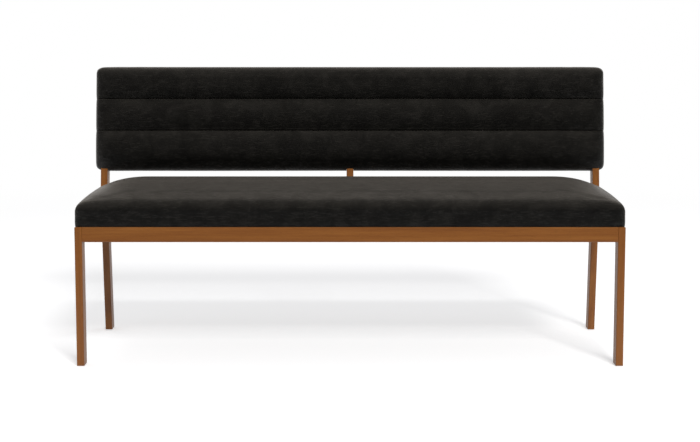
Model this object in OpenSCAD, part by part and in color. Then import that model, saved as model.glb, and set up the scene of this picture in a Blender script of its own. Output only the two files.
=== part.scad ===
// Upholstered bench: a slim timber frame, a crowned boxed seat and a padded back
// with three sewn channels, carried on the raked tops of the rear legs.
// Lengths are millimetres and angles degrees. X runs along the bench, Y from the
// front to the back and Z up from the floor.

/* [Timber frame] */
// Width across the outer faces of the legs
frame_w = 1524; // [1260:2:1860]
// Height of the top of the rails above the floor
frame_h = 391; // [320:1:480]
// Depth from the front face to the knees of the rear legs
frame_d = 492.5; // [410:0.5:600]
// Thickness of the timber that legs and rails are cut from
stock_t = 21; // [17:0.5:26]
// Depth of the legs and the back posts, front to back
leg_d = 50; // [40:0.5:60]
// Height of the rails
rail_h = 42; // [38:0.5:56]
// Radius of the eased edges
edge_r = 3; // [1:0.25:4]

/* [Rear legs] */
// Height of the knee above the top of the rails
knee_rise = 23; // [19:0.5:30]
// Angle by which the lower leg splays backwards
leg_splay = 7.6; // [5:0.1:10]
// Angle by which the back post leans backwards
post_rake = 10.2; // [7:0.1:13]
// Width of the short post at the middle of the back
centre_post_w = 21; // [18:0.5:26]
// Depth of the rear rail behind the front faces of the rear legs' knees
rear_rail_setback = 15.5; // [13:0.5:19]

/* [Seat] */
// Height of the seat's crown above the rails
seat_h = 109; // [96:1:130]
// Height at which the top would meet the sides, above the rails
seat_edge_h = 69; // [58:1:82]
// Radius of the roll between the top and the sides
seat_roll_r = 22; // [17:0.5:27]
// Distance from the ends over which the top rises to its crown
crown_run_x = 160; // [130:1:200]
// Distance from the front and rear edges over which the top rises
crown_run_y = 180; // [150:1:220]
// Distance by which the seat's ends lie inside the frame's sides
seat_side_inset = 0.5; // [0:0.1:1]
// Distance by which the seat's front lies behind the front rail's face
seat_front_inset = 3; // [2.4:0.1:3.6]
// Gap between the seat's rear and the knees
seat_rear_gap = 1.5; // [1.2:0.1:1.8]
// Distance by which the sides draw in towards the rails
seat_tuck = 2.5; // [2:0.1:3]
// Thickness of the plywood seat board
seat_board_t = 12; // [10:0.5:15]
// Width of the cover's margin under the seat board
seat_margin = 25; // [20:0.5:26]
// Thickness of the black cloth under the seat
dust_cloth_t = 0.6; // [0.5:0.05:0.8]

/* [Back] */
// Distance along the post from the knee to the underside of the back
back_rise = 92.5; // [76:0.5:112]
// Height of the padded back along the posts
back_h = 316; // [290:1:380]
// Distance by which the padded back overhangs the legs at each end
back_overhang = 17; // [14:0.5:21]
// Height of the upper channel
upper_channel_h = 100; // [82:0.5:112]
// Height of the middle channel
middle_channel_h = 96.5; // [82:0.5:110]
// Depth to which the seams pull the padding in
seam_d = 6; // [5:0.25:7]
// Distance from a seam over which the padding rises to its crown
seam_run = 30; // [25:0.5:36]
// Depth to which the seams pull the ends in
seam_end_d = 2; // [1.6:0.1:2.4]
// Radius of the front edges of the padded back
back_front_r = 34; // [28:0.5:40]
// Radius of the rear edges of the padded back
back_rear_r = 20; // [16:0.5:24]
// Thickness of the padding and its cover over the front panel
back_pad_t = 13.5; // [11:0.5:16]
// Thickness of the plywood front panel inside the back
back_panel_t = 6; // [5:0.25:7.5]
// Thickness of the hardboard behind the back posts
back_board_t = 3.5; // [3:0.1:4.2]
// Distance from the underside of the back to its lower rails
back_rail_rise = 25.5; // [21:0.5:31]
// Distance from the top of the posts to the top of the back
post_top_gap = 28.5; // [24:0.5:34]

/* [Leather] */
// Thickness of the leather
leather_t = 1.5; // [1.2:0.1:1.8]

/* [Feet] */
// Thickness of the plastic glides
glide_t = 1.5; // [1.2:0.1:2]
// Diameter of the glides
glide_dia = 15; // [12:0.5:17]

/* [Cross bearers and corner blocks] */
// Distance of each cross bearer from the middle of the bench
bearer_x = 254; // [200:1:310]
// Height by which the bearers stop short of the rails' lower edges
bearer_lift = 4; // [3:0.5:5]
// Length of the corner blocks' sides
block_side = 88; // [82:1:100]
// Height of the corner blocks
block_h = 28; // [23:0.5:30]

/* [Screws and dowels] */
// Length of the wood screws
screw_l = 30; // [28:0.5:33]
// Diameter of the wood screws
screw_dia = 4; // [3.5:0.1:4.5]
// Diameter of the screw heads
screw_head_dia = 8; // [7:0.1:9]
// Diameter of the dowels
dowel_dia = 8; // [6.6:0.1:9.6]
// Length of the dowels
dowel_l = 32; // [27:0.5:36]
// Depth to which a dowel enters a piece of the frame timber across its thickness
dowel_cross_depth = 14; // [12:0.5:15]
// Depth to which the side rails' dowels enter the legs
dowel_side_depth = 11; // [9:0.5:12]

/* [Hidden] */

timber_colour = "#85572f";
inner_timber_colour = "#c8a878";
plywood_colour = "#c9ad82";
board_colour = "#6b543c";
leather_colour = "#1b1a18";
foam_colour = "#e6dfc8";
cloth_colour = "#202020";
steel_colour = "#b8bcc0";
glide_colour = "#303030";

// Clearances: between soft skins and what they cover, and round a glued dowel or a screw
skin_gap = 0.3;
glue_gap = 0.1;
// Spare depth at the end of a dowel hole, and the overrun of every cut
hole_spare = 0.5;
overrun = 2;
// Screw heads, their driver bores and the glides' nails
screw_head_h = 2.5;
screw_tip_l = 4;
driver_clearance = 0.5;
seat_screw_bite = 9;
nail_dia = 2.4;
nail_l = 14;
nail_head_t = 0.7;
nail_head_dia = 5;
glide_edge = 0.5;
dowel_edge = 0.8;
// The tenon at the foot of the centre post, and the chamfer of the corner blocks
tenon_t = 8;
tenon_w = 13;
tenon_l = 18;
block_nose = 6;
// Places of the corner blocks' screws, from the block's square corner
block_screw_out = 34;
seat_screw_out = 18;
seat_screw_rear_out = 56;
block_screw_bite = 14;
// Steps of the round stretches
round_fn = 48;
small_fn = 24;
ease_steps = 4;
roll_steps = 3;
rear_roll_steps = 2;
// Extra land beyond the rolls before the cushions' inner stations begin
seat_land = 12;
back_land = 6;
// Width of the back cover's margin behind, and the rear leather's inset
back_margin = 14;
// Corner radii of the cushions' outlines, as shares of the land and roll together
corner_share = 0.5;
// Stations of the crown between the roll and the top, as shares of the crown's run
crown_shares = [0.44, 0.7, 1];
// Rows beside each seam, as shares of the seam's run
seam_shares = [-1, -0.27, 0, 0.27, 1];
// Places of the screws up the back panel, as shares of the clear height of the posts
panel_screw_shares = [0.1, 0.5, 0.9];
// Places of the two dowels across a rail, as shares of its height
dowel_shares = [0.28, 0.72];

// Derived places
half_w = frame_w / 2;
leg_in = half_w - stock_t;
knee_z = frame_h + knee_rise;
rail_bottom = frame_h - rail_h;
rear_rail_y = frame_d + rear_rail_setback;
reach = frame_w;
mitre = (leg_splay - post_rake) / 2;
lower_leg_l = (knee_z + leg_d) / cos(leg_splay);

// Back, in its own frame: up from the knees along the posts, and rearwards from
// the posts' front faces
back_half_w = half_w + back_overhang;
back_low = back_rise;
back_top = back_rise + back_h;
back_mid = back_rise + back_h / 2;
back_front = -back_panel_t - back_pad_t;
back_cover_rear = leg_d + back_board_t + skin_gap + leather_t;
back_cover_t = back_cover_rear - back_front;
front_roll_r = min(back_front_r, back_cover_t - back_rear_r);
post_top = back_top - post_top_gap;
lower_rail_v = back_low + back_rail_rise;
top_rail_v = post_top - stock_t;
upper_seam = back_top - upper_channel_h;
lower_seam = upper_seam - middle_channel_h;

// Depth of the whole bench, to its back or its rear feet, which the origin halves
back_reach = (back_top - back_rear_r) * sin(post_rake)
    + max((back_cover_rear + leather_t) * cos(post_rake),
          (back_cover_rear - back_rear_r) * cos(post_rake) + back_rear_r);
foot_reach = (knee_z - glide_t) * tan(leg_splay) + leg_d / cos(leg_splay);
whole_d = frame_d + max(back_reach, foot_reach);

// Seat outline and heights
seat_half_w = half_w - seat_side_inset;
seat_half_d = (frame_d - seat_rear_gap - seat_front_inset) / 2;
seat_mid_y = seat_front_inset + seat_half_d;
seat_start = seat_roll_r + seat_land;
board_z = frame_h + leather_t;
board_top = board_z + seat_board_t;
board_inset = seat_tuck + leather_t + skin_gap;

// Places of the front ends of the side rails' and rear rail's joints
function lower_leg_front_y(z) = frame_d + (knee_z - z) * tan(leg_splay);

module centred() {
    translate([0, -whole_d / 2, 0]) children();
}

module mirrored_x() {
    children();
    mirror([1, 0, 0]) children();
}

module on_posts() {
    translate([0, frame_d, knee_z]) rotate([-post_rake, 0, 0]) children();
}

module on_lower_legs() {
    translate([0, frame_d, knee_z]) rotate([leg_splay, 0, 0]) children();
}

// Rectangle with round corners, its lower corner at the origin
module eased_rectangle(w, d, r) {
    translate([r, 0]) square([w - 2 * r, d]);
    translate([0, r]) square([w, d - 2 * r]);
    for (x = [r, w - r], y = [r, d - r]) {
        translate([x, y]) circle(r = r, $fn = round_fn);
    }
}

// Upright bar with its four long edges eased
module eased_bar(w, d, l) {
    linear_extrude(height = l) eased_rectangle(w, d, edge_r);
}

// Upright bar whose eased edges are in flat steps, which meet in lines at a mitre
module stepped_bar(w, d, l) {
    linear_extrude(height = l) polygon([
        for (corner = [0 : 3], k = [0 : ease_steps])
            let (a = 90 * (corner + k / ease_steps),
                 x = corner == 0 || corner == 3 ? w - edge_r : edge_r,
                 y = corner < 2 ? d - edge_r : edge_r)
            [x + edge_r * cos(a), y + edge_r * sin(a)]
    ]);
}

// Bar along X with its four long edges eased
module rail_bar_x(l, d, h) {
    translate([0, 0, h]) rotate([0, 90, 0]) eased_bar(h, d, l);
}

// Bar along Y with its four long edges eased
module rail_bar_y(w, l, h) {
    translate([0, l, 0]) rotate([90, 0, 0]) eased_bar(w, h, l);
}

// Solid of revolution of a wood screw, its head's top at the origin, pointing up
module screw(l, grow = 0) {
    shank = screw_dia / 2 + grow;
    head = screw_head_dia / 2 + grow;
    rotate_extrude($fn = small_fn)
        polygon([[0, -grow], [head, -grow], [head, 0], [shank, screw_head_h],
                 [shank, l - screw_tip_l], [0, l + grow]]);
}

// Cut for a screw, with the bore that the driver reaches its head through
module screw_cut(l, bore_l) {
    screw(l, glue_gap);
    translate([0, 0, -bore_l])
        cylinder(r = screw_head_dia / 2 + driver_clearance, h = bore_l, $fn = small_fn);
}

// Dowel with chamfered ends, centred at the origin and standing along Z
module dowel(l) {
    r = dowel_dia / 2;
    rotate_extrude($fn = small_fn)
        polygon([[0, -l / 2], [r - dowel_edge, -l / 2], [r, dowel_edge - l / 2],
                 [r, l / 2 - dowel_edge], [r - dowel_edge, l / 2], [0, l / 2]]);
}

module dowel_cut(l) {
    cylinder(r = dowel_dia / 2 + glue_gap, h = l + 2 * hole_spare, center = true, $fn = small_fn);
}

module along_x() {
    rotate([0, 90, 0]) children();
}

module along_y() {
    rotate([-90, 0, 0]) children();
}

// Places of the dowels, each as a point with the direction it lies in

// Ends of the front and rear rails, entering the legs across their thickness
module at_long_rail_dowels() {
    for (side = [-1, 1], y = [stock_t / 2, rear_rail_y + stock_t / 2], s = dowel_shares) {
        translate([side * (leg_in + dowel_cross_depth - dowel_l / 2), y, rail_bottom + rail_h * s])
            along_x() children();
    }
}

// Ends of the side rails, entering the front and rear legs along their depth
module at_side_rail_dowels() {
    shift = dowel_l / 2 - dowel_side_depth;
    for (side = [-1, 1], s = dowel_shares) {
        z = rail_bottom + rail_h * s;
        translate([side * (half_w - stock_t / 2), 0, z]) {
            translate([0, leg_d + shift, 0]) along_y() children();
            translate([0, lower_leg_front_y(z) - shift, 0]) along_y() children();
        }
    }
}

// Ends of the bearers, entering the long rails across their thickness
module at_bearer_dowels() {
    shift = dowel_l / 2 - dowel_cross_depth;
    for (side = [-1, 1], s = dowel_shares) {
        translate([side * bearer_x, 0, rail_bottom + rail_h * s]) {
            translate([0, stock_t + shift, 0]) along_y() children();
            translate([0, rear_rail_y - shift, 0]) along_y() children();
        }
    }
}

// Ends of the back's rails, entering the outer posts across their thickness
module at_back_end_dowels() {
    for (side = [-1, 1], v = [lower_rail_v, top_rail_v], s = dowel_shares) {
        translate([side * (leg_in + dowel_cross_depth - dowel_l / 2), leg_d * s, v + stock_t / 2])
            along_x() children();
    }
}

// Through the centre post into both lower rails
through_dowel_l = centre_post_w + dowel_l;
module at_back_through_dowels() {
    for (s = dowel_shares) {
        translate([0, leg_d * s, lower_rail_v + stock_t / 2]) along_x() children();
    }
}

// Up from the centre post into the top rail
module at_post_top_dowel() {
    translate([0, leg_d / 2, top_rail_v + dowel_cross_depth - dowel_l / 2]) children();
}

// Places of the screws, each pointing up the screw

module at_block_screws(front = true, rear = true) {
    head = screw_l - block_screw_bite;
    ends = [if (front) [stock_t, 1], if (rear) [rear_rail_y, -1]];
    z = frame_h - rail_h / 2;
    for (side = [-1, 1], end = ends) {
        translate([side * (leg_in - block_screw_out), end[0] + end[1] * head, z])
            rotate([end[1] * 90, 0, 0]) children();
        translate([side * (leg_in - head), end[0] + end[1] * block_screw_out, z])
            rotate([0, side * 90, 0]) children();
    }
}

seat_screw_z = board_z + seat_screw_bite - screw_l;
bearer_screw_run = rear_rail_y - stock_t;
bearer_screw_shares = [0.22, 0.78];
module at_seat_screws() {
    for (side = [-1, 1]) {
        for (y = [stock_t + seat_screw_out, rear_rail_y - seat_screw_rear_out]) {
            translate([side * (leg_in - seat_screw_out), y, seat_screw_z]) children();
        }
        for (s = bearer_screw_shares) {
            translate([side * bearer_x, stock_t + bearer_screw_run * s, seat_screw_z]) children();
        }
    }
}

module at_panel_screws() {
    clear_v = lower_rail_v + stock_t;
    for (x = [-half_w + stock_t / 2, 0, half_w - stock_t / 2], s = panel_screw_shares) {
        translate([x, -back_panel_t, clear_v + (top_rail_v - clear_v) * s])
            along_y() children();
    }
}

// Centres of the feet, under the front legs and under the splayed rear legs
foot_rear_y = lower_leg_front_y(glide_t) + leg_d / cos(leg_splay) / 2;
module at_feet() {
    for (x = [-half_w + stock_t / 2, half_w - stock_t / 2], y = [leg_d / 2, foot_rear_y]) {
        translate([x, y, 0]) children();
    }
}

module nail_form(grow = 0) {
    rotate_extrude($fn = small_fn)
        polygon([[0, glide_t - nail_head_t - grow], [nail_head_dia / 2 + grow, glide_t - nail_head_t - grow],
                 [nail_head_dia / 2 + grow, glide_t], [nail_dia / 2 + grow, glide_t],
                 [nail_dia / 2 + grow, glide_t + nail_l - nail_dia], [0, glide_t + nail_l + grow]]);
}

// Timber frame

// Front leg on the right: long edges eased, and the top's side edges rounded over
module front_leg() {
    color(timber_colour) difference() {
        intersection() {
            translate([leg_in, 0, glide_t]) eased_bar(stock_t, leg_d, frame_h - glide_t);
            translate([leg_in, leg_d + overrun, 0]) rotate([90, 0, 0])
                linear_extrude(height = leg_d + 2 * overrun) leg_front_view();
        }
        at_long_rail_dowels() dowel_cut(dowel_l);
        at_side_rail_dowels() dowel_cut(dowel_l);
        at_feet() nail_form(glue_gap);
    }
}

// The front leg seen from the front, square below and with its outer top corner round
module leg_front_view() {
    square([stock_t, frame_h - edge_r]);
    square([stock_t - edge_r, frame_h]);
    translate([stock_t - edge_r, frame_h - edge_r]) circle(r = edge_r, $fn = round_fn);
}

// Rear leg on the right: the splayed leg and the raked post, mitred at the knee
module rear_leg() {
    color(timber_colour) difference() {
        union() {
            intersection() {
                on_posts() translate([leg_in, 0, -leg_d]) stepped_bar(stock_t, leg_d, post_top + leg_d);
                on_knee() translate([-reach, -reach, 0]) cube([2 * reach, 2 * reach, reach]);
            }
            intersection() {
                on_lower_legs() translate([leg_in, 0, -lower_leg_l])
                    stepped_bar(stock_t, leg_d, lower_leg_l + leg_d);
                on_knee() translate([-reach, -reach, -reach]) cube([2 * reach, 2 * reach, reach]);
                translate([0, 0, glide_t]) cube([reach, reach, reach]);
            }
        }
        at_long_rail_dowels() dowel_cut(dowel_l);
        at_side_rail_dowels() dowel_cut(dowel_l);
        on_posts() at_back_end_dowels() dowel_cut(dowel_l);
        on_posts() at_panel_screws() screw_cut(screw_l, overrun);
        at_feet() nail_form(glue_gap);
    }
}

// Plane that halves the angle between the post and the lower leg
module on_knee() {
    translate([0, frame_d, knee_z]) rotate([mitre, 0, 0]) children();
}

module front_leg_right() {
    centred() front_leg();
}

module front_leg_left() {
    centred() mirror([1, 0, 0]) front_leg();
}

module rear_leg_right() {
    centred() rear_leg();
}

module rear_leg_left() {
    centred() mirror([1, 0, 0]) rear_leg();
}

// Short post that stands on the rear rail, its foot cut plumb behind the seat
module centre_post() {
    centred() color(timber_colour) difference() {
        union() {
            intersection() {
                on_posts() translate([-centre_post_w / 2, 0, -leg_d - knee_rise])
                    eased_bar(centre_post_w, leg_d, top_rail_v + leg_d + knee_rise);
                translate([-reach, frame_d, frame_h]) cube([2 * reach, reach, reach]);
            }
            tenon(0);
        }
        on_posts() at_back_through_dowels() dowel_cut(through_dowel_l);
        on_posts() at_post_top_dowel() dowel_cut(dowel_l);
        on_posts() at_panel_screws() screw_cut(screw_l, overrun);
    }
}

module tenon(grow) {
    translate([-tenon_t / 2 - grow, rear_rail_y + (stock_t - tenon_w) / 2 - grow, frame_h - tenon_l - grow])
        cube([tenon_t + 2 * grow, tenon_w + 2 * grow, tenon_l + overrun]);
}

module front_rail() {
    centred() color(timber_colour) difference() {
        translate([-leg_in, 0, rail_bottom]) rail_bar_x(2 * leg_in, stock_t, rail_h);
        at_long_rail_dowels() dowel_cut(dowel_l);
        at_bearer_dowels() dowel_cut(dowel_l);
        at_block_screws() screw_cut(screw_l, overrun);
    }
}

module rear_rail() {
    centred() color(timber_colour) difference() {
        translate([-leg_in, rear_rail_y, rail_bottom]) rail_bar_x(2 * leg_in, stock_t, rail_h);
        at_long_rail_dowels() dowel_cut(dowel_l);
        at_bearer_dowels() dowel_cut(dowel_l);
        at_block_screws() screw_cut(screw_l, overrun);
        tenon(glue_gap);
    }
}

// Side rail on the right, its rear end cut to the splay of the leg
module side_rail() {
    color(timber_colour) difference() {
        translate([leg_in, leg_d, rail_bottom]) rail_bar_y(stock_t, frame_d, rail_h);
        on_lower_legs() translate([-reach, 0, -reach]) cube([2 * reach, reach, 2 * reach]);
        at_side_rail_dowels() dowel_cut(dowel_l);
        at_block_screws() screw_cut(screw_l, overrun);
    }
}

module side_rail_right() {
    centred() side_rail();
}

module side_rail_left() {
    centred() mirror([1, 0, 0]) side_rail();
}

// Cross bearer on the right, between the long rails
module bearer() {
    color(inner_timber_colour) difference() {
        translate([bearer_x - stock_t / 2, stock_t, rail_bottom + bearer_lift])
            cube([stock_t, rear_rail_y - stock_t, rail_h - bearer_lift]);
        at_bearer_dowels() dowel_cut(dowel_l);
        at_seat_screws() screw_cut(screw_l, rail_h);
    }
}

module bearer_right() {
    centred() bearer();
}

module bearer_left() {
    centred() mirror([1, 0, 0]) bearer();
}

// Corner block with its square corner at the origin, its sides along -X and +Y
module block_blank() {
    linear_extrude(height = block_h)
        polygon([[0, 0], [-block_side, 0], [-block_side, block_nose],
                 [-block_nose, block_side], [0, block_side]]);
}

module corner_block(side, end) {
    at_front = end < 0;
    y = at_front ? stock_t : rear_rail_y;
    color(inner_timber_colour) difference() {
        translate([side * leg_in, y, frame_h - rail_h / 2 - block_h / 2])
            mirror([side < 0 ? 1 : 0, 0, 0]) mirror([0, at_front ? 0 : 1, 0]) block_blank();
        at_block_screws(at_front, !at_front) screw_cut(screw_l, block_side);
        at_seat_screws() screw_cut(screw_l, rail_h);
    }
}

module corner_block_front_left() {
    centred() corner_block(-1, -1);
}

module corner_block_front_right() {
    centred() corner_block(1, -1);
}

module corner_block_rear_left() {
    centred() corner_block(-1, 1);
}

module corner_block_rear_right() {
    centred() corner_block(1, 1);
}

// Fixings

module rail_dowels() {
    centred() color(inner_timber_colour) {
        at_long_rail_dowels() dowel(dowel_l);
        at_side_rail_dowels() dowel(dowel_l);
    }
}

module bearer_dowels() {
    centred() color(inner_timber_colour) at_bearer_dowels() dowel(dowel_l);
}

module back_dowels() {
    centred() color(inner_timber_colour) on_posts() {
        at_back_end_dowels() dowel(dowel_l);
        at_back_through_dowels() dowel(through_dowel_l);
        at_post_top_dowel() dowel(dowel_l);
    }
}

module corner_block_screws() {
    centred() color(steel_colour) at_block_screws() screw(screw_l);
}

module seat_screws() {
    centred() color(steel_colour) at_seat_screws() screw(screw_l);
}

module back_panel_screws() {
    centred() color(steel_colour) on_posts() at_panel_screws() screw(screw_l);
}

// Nail-on glides under the feet, with a chamfered rim
module glides() {
    r = glide_dia / 2;
    centred() color(glide_colour) at_feet() difference() {
        rotate_extrude($fn = round_fn)
            polygon([[0, 0], [r - glide_edge, 0], [r, glide_edge], [r, glide_t], [0, glide_t]]);
        nail_form(glue_gap);
    }
}

module glide_nails() {
    centred() color(steel_colour) at_feet() nail_form();
}

// Seat

module board_outline(inset) {
    translate([-seat_half_w + inset, seat_front_inset + inset])
        eased_rectangle(2 * (seat_half_w - inset), 2 * (seat_half_d - inset), corner_share * seat_start);
}

module seat_board() {
    centred() color(plywood_colour) difference() {
        translate([0, 0, board_z]) linear_extrude(height = seat_board_t) board_outline(board_inset);
        at_seat_screws() screw(screw_l, glue_gap);
    }
}

module dust_cloth() {
    centred() color(cloth_colour) difference() {
        translate([0, 0, board_z - dust_cloth_t]) linear_extrude(height = dust_cloth_t)
            board_outline(seat_tuck + seat_margin + skin_gap);
        at_seat_screws() screw(screw_l, glue_gap);
    }
}

// Cushion forms: a net of points, with a column for each station along the bench
// and a row for each station across. The outer stations of both are the levels of
// the roll and the sides, and where two meet at a corner they share out its arc.

// Place along one level's corner, in from the last inner station: out by the gap
// between the level and that station, then round the corner's arc
function corner_place(gap, share) =
    let (r = corner_share * gap, straight = gap - r, t = share * (straight + r * PI / 4))
    t <= straight ? [gap, t]
        : let (a = (t - straight) / r * 180 / PI) [straight + r * cos(a), straight + r * sin(a)];

// Plan place of a net point from its two levels and two inner stations
function net_place(level_x, level_y, at, insets, start, half) =
    let (level = max(level_x, level_y))
    level == 0 ? at
        : let (gap = start - insets[level],
               out = level_x >= level_y ? corner_place(gap, level_y / level)
                   : let (q = corner_place(gap, level_x / level)) [q[1], q[0]],
               corner = [half[0] - start, half[1] - start])
            [level_x > 0 ? sign(at[0]) * (corner[0] + out[0]) : at[0],
             level_y > 0 ? sign(at[1]) * (corner[1] + out[1]) : at[1]];

// Stations of a net in one direction: [level, place], outermost first
function stations(inner, edge, levels) = concat(
    [for (k = [levels : -1 : 1]) [k, -edge]],
    [for (p = inner) [0, p]],
    [for (k = [1 : levels]) [k, edge]]
);

// Triangles of a net that faces upwards, counted from its first point
function net_faces(cols, rows, first) = [
    for (j = [0 : rows - 2], i = [0 : cols - 2])
        let (a = first + j * cols + i, b = a + 1, c = a + cols, d = c + 1)
        each [[a, c, b], [b, c, d]]
];

function turned(faces) = [for (f = faces) [f[0], f[2], f[1]]];

// The net's rim as a closed loop of point numbers, anticlockwise seen from above
function rim(cols, rows, first) = concat(
    [for (i = [0 : cols - 2]) first + i],
    [for (j = [0 : rows - 2]) first + j * cols + cols - 1],
    [for (i = [cols - 1 : -1 : 1]) first + (rows - 1) * cols + i],
    [for (j = [rows - 1 : -1 : 1]) first + j * cols]
);

// Strip of triangles between the rims of two nets
function rim_strip(outer, inner) = [
    for (k = [0 : len(outer) - 1])
        let (n = (k + 1) % len(outer))
        each [[outer[k], outer[n], inner[k]], [inner[k], outer[n], inner[n]]]
];

// Solid between a net and the flat that closes its rim
module net_solid(points, cols, rows) {
    loop = rim(cols, rows, 0);
    lid = [for (k = [1 : len(loop) - 2]) [loop[0], loop[k], loop[k + 1]]];
    polyhedron(points = points, faces = concat(net_faces(cols, rows, 0), lid));
}

// Skin between an outer net and an inner one
module net_skin(outer, inner, cols, rows) {
    n = len(outer);
    polyhedron(points = concat(outer, inner), faces = concat(
        net_faces(cols, rows, 0), turned(net_faces(cols, rows, n)),
        rim_strip(rim(cols, rows, 0), rim(cols, rows, n))));
}

// Rise of a crown at a distance from the edge, from none to all of it
function crown_rise(distance, run) = 1 - pow(1 - min(max(distance / run, 0), 1), 2);

// Height of the seat's top before its edges roll over
function seat_top_z(x, y) = frame_h + seat_edge_h + (seat_h - seat_edge_h)
    * crown_rise(seat_half_w - abs(x), crown_run_x) * crown_rise(seat_half_d - abs(y), crown_run_y);

// Levels of the seat's sides: [inset, fall from the top, height of its own or none],
// for a surface that lies e inside the cover's outer face
function seat_levels(e, floor_z, margin) = concat(
    [[seat_start, e, undef]],
    [for (k = [0 : roll_steps])
        let (a = 90 * k / roll_steps, r = seat_roll_r - e)
        [e + r * (1 - sin(a)), e + r * (1 - cos(a)), undef]],
    [[seat_tuck + e, 0, floor_z]],
    margin > 0 ? [[seat_tuck + margin, 0, floor_z]] : []
);

seat_x_inner = [for (s = concat([seat_start / crown_run_x], crown_shares)) seat_half_w - s * crown_run_x];
seat_y_inner = [for (s = concat([seat_start / crown_run_y], crown_shares)) seat_half_d - s * crown_run_y];
function both_sides(list) = concat([for (p = list) -p], [for (k = [len(list) - 1 : -1 : 0]) list[k]]);

function seat_net(e, floor_z, margin) =
    let (levels = seat_levels(e, floor_z, margin), top = len(levels) - 1,
         insets = [for (l = levels) l[0]],
         xs = stations(both_sides(seat_x_inner), seat_half_w, top),
         ys = stations(both_sides(seat_y_inner), seat_half_d, top))
    [for (sy = ys, sx = xs)
        let (level = levels[max(sx[0], sy[0])],
             p = net_place(sx[0], sy[0], [sx[1], sy[1]], insets, seat_start, [seat_half_w, seat_half_d]))
        [p[0], p[1] + seat_mid_y, is_undef(level[2]) ? seat_top_z(p[0], p[1]) - level[1] : level[2]]];

function seat_cols(levels) = 2 * (levels + len(seat_x_inner));
function seat_rows(levels) = 2 * (levels + len(seat_y_inner));

module seat_foam() {
    levels = roll_steps + 2;
    centred() color(foam_colour)
        net_solid(seat_net(leather_t + skin_gap, board_top, 0), seat_cols(levels), seat_rows(levels));
}

// Boxed leather cover, turned under the seat board
module seat_cover() {
    levels = roll_steps + 3;
    centred() color(leather_colour)
        net_skin(seat_net(0, frame_h, seat_margin), seat_net(leather_t, board_z, seat_margin),
                 seat_cols(levels), seat_rows(levels));
}

// Back

// How much of a seam's pull is left at a height up the back
function seam_pull(v) =
    let (d = min(abs(v - upper_seam), abs(v - lower_seam)), s = 1 - min(d / seam_run, 1))
    s * s * s;

// Levels of the back's edges: [inset, depth behind the crown of the front, pull
// forwards and sideways], for a surface that lies e inside the cover's outer face
function back_levels(e, margin) = concat(
    [[front_roll_r + back_land, e, seam_d, 0]],
    [for (k = [0 : roll_steps])
        let (a = 90 * k / roll_steps, r = front_roll_r - e)
        [e + r * (1 - sin(a)), e + r * (1 - cos(a)), seam_d * cos(a), seam_end_d * sin(a)]],
    [for (k = [0 : rear_roll_steps])
        let (a = 90 * k / rear_roll_steps, r = back_rear_r - e)
        [e + r * (1 - cos(a)), back_cover_t - back_rear_r + r * sin(a), 0, seam_end_d * cos(a)]],
    margin > 0 ? [[back_rear_r + margin, back_cover_t - e, 0, 0]] : []
);

back_start = front_roll_r + back_land;
back_rows_v = concat([back_low + back_start], [for (s = seam_shares) lower_seam + s * seam_run],
    [for (s = seam_shares) upper_seam + s * seam_run], [back_top - back_start]);

function back_net(e, margin) =
    let (levels = back_levels(e, margin), top = len(levels) - 1,
         insets = [for (l = levels) l[0]],
         xs = stations([-back_half_w + back_start, back_half_w - back_start], back_half_w, top),
         vs = stations([for (v = back_rows_v) v - back_mid], back_h / 2, top))
    [for (sv = vs, sx = xs)
        let (level = levels[max(sx[0], sv[0])],
             p = net_place(sx[0], sv[0], [sx[1], sv[1]], insets, back_start, [back_half_w, back_h / 2]),
             pull = seam_pull(p[1] + back_mid))
        [p[0] - sign(p[0]) * level[3] * pull, back_front + level[1] + level[2] * pull, p[1] + back_mid]];

function back_cols(levels) = 2 * (levels + 1);
function back_rows(levels) = 2 * levels + len(back_rows_v);

// Room for a post through the padding's underside
module post_slots(gap) {
    for (x = [-half_w, -centre_post_w / 2, leg_in]) {
        w = x == -centre_post_w / 2 ? centre_post_w : stock_t;
        translate([x - gap, -gap, back_low - back_rear_r])
            cube([w + 2 * gap, leg_d + 2 * gap, back_rail_rise + 2 * back_rear_r]);
    }
}

// Padding round the back's frame: thick in front, thin round the edges
module back_foam() {
    levels = roll_steps + rear_roll_steps + 2;
    e = leather_t + skin_gap;
    centred() color(foam_colour) on_posts() difference() {
        net_solid(back_net(e, 0), back_cols(levels), back_rows(levels));
        translate([-half_w - skin_gap, -back_panel_t - skin_gap, lower_rail_v - skin_gap])
            cube([frame_w + 2 * skin_gap, back_cover_t, post_top - lower_rail_v + 2 * skin_gap]);
        post_slots(skin_gap);
    }
}

// Channelled leather cover, open behind, with slots for the posts
module back_cover() {
    levels = roll_steps + rear_roll_steps + 3;
    centred() color(leather_colour) on_posts() difference() {
        net_skin(back_net(0, back_margin), back_net(leather_t, back_margin),
                 back_cols(levels), back_rows(levels));
        post_slots(skin_gap);
    }
}

module back_rail(x0, l, v) {
    translate([x0, 0, v]) cube([l, leg_d, stock_t]);
}

module back_top_rail() {
    centred() color(inner_timber_colour) on_posts() difference() {
        back_rail(-leg_in, 2 * leg_in, top_rail_v);
        at_back_end_dowels() dowel_cut(dowel_l);
        at_post_top_dowel() dowel_cut(dowel_l);
    }
}

// Lower rail of the back on the right, from the centre post to the outer post
module back_lower_rail() {
    color(inner_timber_colour) on_posts() difference() {
        back_rail(centre_post_w / 2, leg_in - centre_post_w / 2, lower_rail_v);
        at_back_end_dowels() dowel_cut(dowel_l);
        at_back_through_dowels() dowel_cut(through_dowel_l);
    }
}

module back_lower_rail_right() {
    centred() back_lower_rail();
}

module back_lower_rail_left() {
    centred() mirror([1, 0, 0]) back_lower_rail();
}

module back_sheet(w0, t) {
    translate([-half_w, w0, lower_rail_v]) cube([frame_w, t, post_top - lower_rail_v]);
}

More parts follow.
